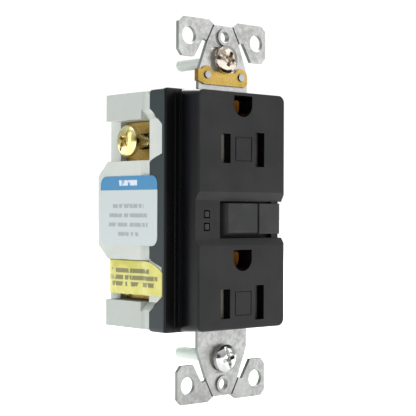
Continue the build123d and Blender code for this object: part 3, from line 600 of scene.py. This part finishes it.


# ---- springs: modelled again here as wire coils between two points, in place of the CAD springs

coils = {
    "reset_spring": {"from": (-0.6, -3.6, -2.225), "to": (-0.6, -7.5, -2.225), "coilR": 2.4, "wire": 0.2,
                     "turns": 4, "body": "housing", "joint": "reset_press", "keep": 0.58},
    "test_spring": {"from": (10.9, -3.6, -2.225), "to": (10.9, -7.5, -2.225), "coilR": 2.4, "wire": 0.2,
                    "turns": 4, "body": "housing", "joint": "test_press", "keep": 0.63},
    "latch_spring": {"from": (-0.6, 12.75, 7.35), "to": (-0.6, 12.75, 1.45), "coilR": 0.6, "wire": 0.15,
                     "turns": 6, "body": "carriage", "joint": "latch_slide", "keep": 0.69},
    "upper_shutter_spring": {"from": (2.9, -5.3, 22.95), "to": (-5.95, -5.3, 22.95), "coilR": 0.5,
                             "wire": 0.12, "turns": 9, "body": "housing",
                             "joint": "upper_shutter_slide", "keep": 0.52},
    "lower_shutter_spring": {"from": (2.9, -5.3, -19.35), "to": (-5.95, -5.3, -19.35), "coilR": 0.5,
                             "wire": 0.12, "turns": 9, "body": "housing",
                             "joint": "lower_shutter_slide", "keep": 0.52},
}
coilSides = 8
coilStepsPerTurn = 18


def coilSpring(node, coil):
    """A wire coil between two points."""
    start = Vector(coil["from"])
    end = Vector(coil["to"])
    along = (end - start).normalized()
    side = along.orthogonal().normalized()
    other = along.cross(side)
    wire = coil["wire"]
    travel = (end - start).length - 2 * wire
    count = int(coil["turns"] * coilStepsPerTurn)
    mesh = bmesh.new()
    rings = []
    for i in range(count + 1):
        turn = 2 * math.pi * coil["turns"] * i / count
        out = side * math.cos(turn) + other * math.sin(turn)
        middle = start + along * (wire + travel * i / count) + out * coil["coilR"]
        ring = []
        for k in range(coilSides):
            angle = 2 * math.pi * k / coilSides
            offset = (out * math.cos(angle) + along * math.sin(angle)) * wire
            ring.append(mesh.verts.new((middle + offset) * mm))
        rings.append(ring)
    joinRings(mesh, rings, closed=True)
    piece = showPiece(node + "_coil", mesh, "spring_steel")
    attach(piece, coil["body"])
    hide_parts(node)
    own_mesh(piece)


for node, coil in coils.items():
    coilSpring(node, coil)


# ---- the test blade: a flat leaf on a foot

bladeShape = {"left": 8.6, "right": 15.2, "bendFrom": 15.0, "bendTo": 12.1, "front": 2.45, "back": 2.75,
              "footFrom": 13.0, "footFront": 2.1, "low": -3.425, "high": -1.025, "steps": 24}


def testBlade():
    mesh = bmesh.new()
    rings = []
    back = bladeShape["back"]
    low = bladeShape["low"]
    high = bladeShape["high"]
    for i in range(bladeShape["steps"] + 1):
        x = bladeShape["left"] + (bladeShape["right"] - bladeShape["left"]) * i / bladeShape["steps"]
        front = bladeShape["footFront"] if x >= bladeShape["footFrom"] else bladeShape["front"]
        corners = [(front, low), (back, low), (back, high), (front, high)]
        rings.append([mesh.verts.new(Vector((x, y, z)) * mm) for y, z in corners])
    joinRings(mesh, rings, closed=True)
    piece = showPiece("test_blade_leaf", mesh, "copper")
    piece.data.shade_flat()
    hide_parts("test_blade")
    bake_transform(piece)


testBlade()
print("springs and blade modelled")


# ---- studio: a white tent with a dark side where the camera stands, a pale floor, soft lamps

studio = {
    "floorDrop": 0.6 * mm, "floorHalf": 6.0, "floorColour": rgb(0.94, 0.94, 0.94), "floorGlow": 0.6,
    "horizon": 0.48, "zenith": 0.75, "ground": 0.45, "seen": 1.06, "cool": rgb(0.86, 0.95, 1.0),
    "darkSide": 0.12, "darkFrom": 0.80, "darkTo": 0.97,
}
lamps = {
    "key_right": {"place": (0.75, -0.75, 0.55), "size": (0.7, 0.9), "power": 2.3, "tint": (1, 1, 1)},
    "top": {"place": (-0.25, 0.0, 1.1), "size": (1.0, 1.0), "power": 2.9, "tint": (1, 1, 1)},
    "high_behind": {"place": (0.38, 0.85, 0.66), "size": (0.6, 0.6), "power": 6.5, "tint": (1, 1, 1)},
    "rim_left": {"place": (-1.0, 0.35, 0.25), "size": (0.5, 0.9), "power": 2.0,
                 "tint": (0.90, 0.96, 1.0)},
}
cameraLook = {"azimuth": -41.32, "elevation": -0.22, "roll": 0.19, "distance": 337.8 * mm,
              "target": Vector((-5.48, -1.1, 0.70)) * mm, "lens": 105.63, "sensor": 36}
aim = Vector((math.radians(cameraLook["azimuth"]), math.radians(cameraLook["elevation"])))
towardsCamera = Vector((math.sin(aim.x) * math.cos(aim.y), -math.cos(aim.x) * math.cos(aim.y),
                        math.sin(aim.y)))


def camera():
    data = bpy.data.cameras.new("camera")
    data.lens = cameraLook["lens"]
    data.sensor_width = cameraLook["sensor"]
    data.clip_start = 0.01
    seat = bpy.data.objects.new("camera", data)
    seat.location = cameraLook["target"] + towardsCamera * cameraLook["distance"]
    roll = Matrix.Rotation(math.radians(cameraLook["roll"]), 3, "Z").to_quaternion()
    seat.rotation_euler = (towardsCamera.to_track_quat("Z", "Y") @ roll).to_euler()
    bpy.context.scene.collection.objects.link(seat)
    bpy.context.scene.camera = seat


def floor():
    mesh = bmesh.new()
    bmesh.ops.create_grid(mesh, x_segments=4, y_segments=4, size=studio["floorHalf"])
    data = bpy.data.meshes.new("floor")
    mesh.to_mesh(data)
    plane = bpy.data.objects.new("floor", data)
    plane.location.z = cadBox[0][2] - studio["floorDrop"]
    bpy.context.scene.collection.objects.link(plane)
    g = Graph("pale_floor")
    g.surface.inputs["Emission Color"].default_value = rgb(1, 1, 1)
    g.surface.inputs["Emission Strength"].default_value = studio["floorGlow"]
    data.materials.append(g.finish(colour=studio["floorColour"], roughness=0.85, specular=0.1))


def tent():
    world = bpy.data.worlds.new("white_tent")
    world.use_nodes = True
    bpy.context.scene.world = world
    g = Nodes(world.node_tree)
    back = g.tree.nodes["Background"]
    way = g.add("TexCoord", out="Generated")
    up = g.add("SeparateXYZ", None, {0: way}, out="Z")
    facing = g.add("VectorMath", {"operation": "DOT_PRODUCT"}, {0: way, 1: towardsCamera}, out="Value")
    brightness = studio["horizon"] + g.step(up, 0.1, 0.9) * (studio["zenith"] - studio["horizon"])
    brightness = brightness - g.step(up, -0.05, -0.5) * (studio["horizon"] - studio["ground"])
    dark = g.step(facing, studio["darkFrom"], studio["darkTo"])
    brightness = brightness * (1 - dark * (1 - studio["darkSide"]))
    seen = g.add("LightPath", out="Is Camera Ray")
    strength = brightness + (studio["seen"] - brightness) * seen
    tint = g.mix(g.step(facing, 0.3, -0.6), rgb(1, 1, 1), studio["cool"])
    g.feed(back.inputs["Color"], g.mix(seen, tint, rgb(1, 1, 1)))
    g.feed(back.inputs["Strength"], strength)


def softLight(name, look):
    data = bpy.data.lights.new(name, "AREA")
    data.shape = "RECTANGLE"
    data.size, data.size_y = look["size"]
    data.energy = look["power"]
    data.color = look["tint"]
    lamp = bpy.data.objects.new(name, data)
    lamp.location = look["place"]
    lamp.rotation_euler = (-Vector(look["place"])).to_track_quat("-Z", "Y").to_euler()
    lamp.visible_camera = False
    bpy.context.scene.collection.objects.link(lamp)


camera()
floor()
tent()
for name, look in lamps.items():
    softLight(name, look)
bpy.context.scene.view_settings.view_transform = "Standard"
print("studio set")
